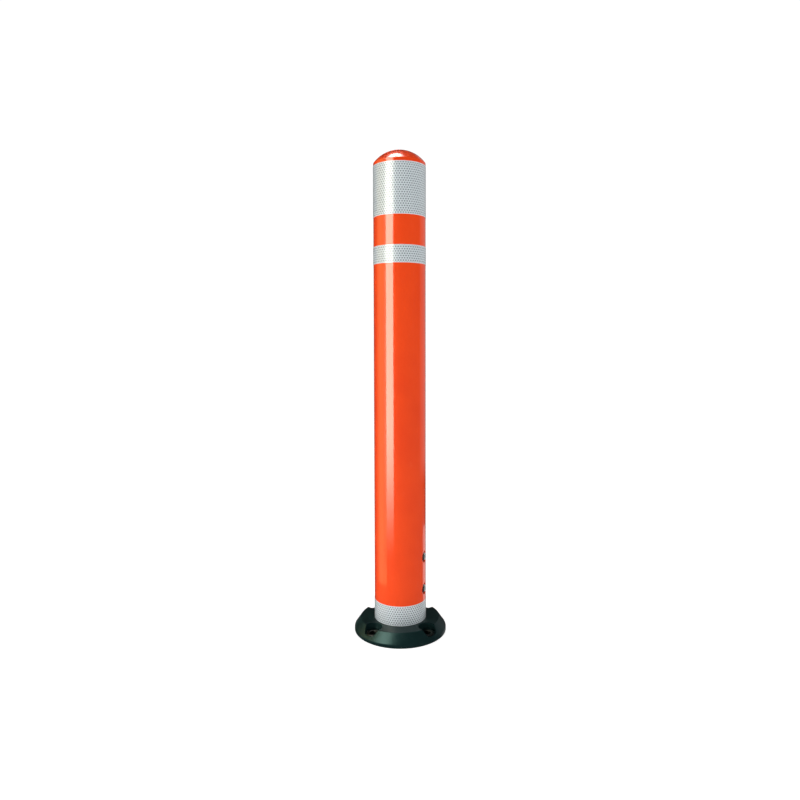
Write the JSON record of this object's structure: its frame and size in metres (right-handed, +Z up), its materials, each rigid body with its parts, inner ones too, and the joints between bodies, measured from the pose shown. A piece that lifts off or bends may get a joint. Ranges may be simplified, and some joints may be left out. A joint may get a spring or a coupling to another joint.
{
  "type": "delineator post",
  "caption": "Round tubular delineator post with a domed cap, reflective bands and a bolted rubber base, pulled upright by an inner spring and rope.",
  "frame": {"origin": "centre of the base's underside, on the post's axis", "axes": "+Z up along the post, -Y the front, +X the side that the post tips towards"},
  "size_m": [0.143, 0.143, 0.74],
  "materials": {
    "base_rubber": "moulded black rubber, slightly glossy",
    "post_orange": "semi-gloss fluorescent orange plastic",
    "reflective_sheet": "white honeycomb reflective sheet under a clear film",
    "bright_steel": "plain stainless steel",
    "bush_steel": "steel with a black passivated finish",
    "plate_steel": "zinc plated and passivated steel",
    "swaged_steel": "swaged steel with die marks",
    "spring_steel": "oil-blacked spring wire",
    "rope_wire": "galvanised stranded wire",
    "insert_brass": "turned brass",
    "boss_nylon": "natural nylon",
    "carrier_nylon": "black glass-filled nylon"
  },
  "bodies": {
    "base": {"base_body": "base_rubber", "anchor_bush_1": "bush_steel", "anchor_bush_2": "bush_steel", "anchor_bush_3": "bush_steel", "anchor_bush_4": "bush_steel", "anchor_plate": "plate_steel", "plate_screw_1": "bright_steel", "plate_screw_2": "bright_steel", "plate_screw_3": "bright_steel", "centring_boss": "boss_nylon", "rope_end": "swaged_steel", "wire_rope": "rope_wire"},
    "post": {"post_tube": "post_orange", "top_cap": "post_orange", "upper_band": "reflective_sheet", "middle_band": "reflective_sheet", "foot_band": "reflective_sheet", "spring_carrier": "carrier_nylon", "threaded_insert_1": "insert_brass", "threaded_insert_2": "insert_brass", "threaded_insert_3": "insert_brass", "threaded_insert_4": "insert_brass", "side_washer_1": "bright_steel", "side_washer_2": "bright_steel", "side_washer_3": "bright_steel", "side_washer_4": "bright_steel", "side_screw_1": "bright_steel", "side_screw_2": "bright_steel", "side_screw_3": "bright_steel", "side_screw_4": "bright_steel", "rope_guide": "insert_brass", "spring_seat": "plate_steel", "return_spring": "spring_steel"},
    "retainer": {"spring_retainer": "carrier_nylon", "stop_washer": "bright_steel", "rope_stop": "swaged_steel", "rope_tail": "rope_wire"}
  },
  "joints": [
    {"name": "post_tilt", "type": "hinge", "parent": "base", "child": "post", "pos_m": [0.0406, 0, 0.0195], "axis": [0, 1, 0], "range_deg": [0, 90], "stiffness_Nm_per_rad": 8, "springref_deg": -28.65, "deforming": ["wire_rope"]},
    {"name": "retainer_slide", "type": "slide", "parent": "post", "child": "retainer", "axis": [0, 0, -1], "range_m": [0, 0.057], "stiffness_N_per_m": 20, "springref_m": -0.06, "deforming": ["return_spring"]}
  ],
  "couplings": [
    {"joint": "retainer_slide", "follows": "post_tilt", "m_per_rad": 0.036}
  ]
}
